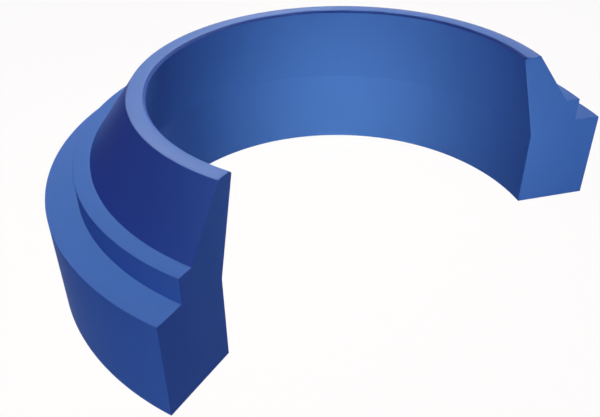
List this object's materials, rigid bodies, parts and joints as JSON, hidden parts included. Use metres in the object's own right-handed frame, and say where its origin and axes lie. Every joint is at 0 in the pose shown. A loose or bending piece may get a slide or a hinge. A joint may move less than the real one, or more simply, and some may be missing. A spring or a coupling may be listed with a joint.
{
  "type": "wiper seal",
  "caption": "Rod wiper seal: a stepped polyurethane ring with an inward leaning lip that scrapes a rod clean, sectioned so that its profile shows.",
  "frame": {"origin": "on the seal's axis, in the plane of its flat bottom face", "axes": "+Z along the rod, from the heel to the wiping lip; the cut sector is centred on -Y"},
  "size_m": [0.035, 0.0242, 0.0107],
  "materials": {
    "polyurethane": "satin blue polyurethane, turned, with knife-cut section faces"
  },
  "bodies": {
    "root": {"wiper_ring": "polyurethane"}
  },
  "joints": []
}
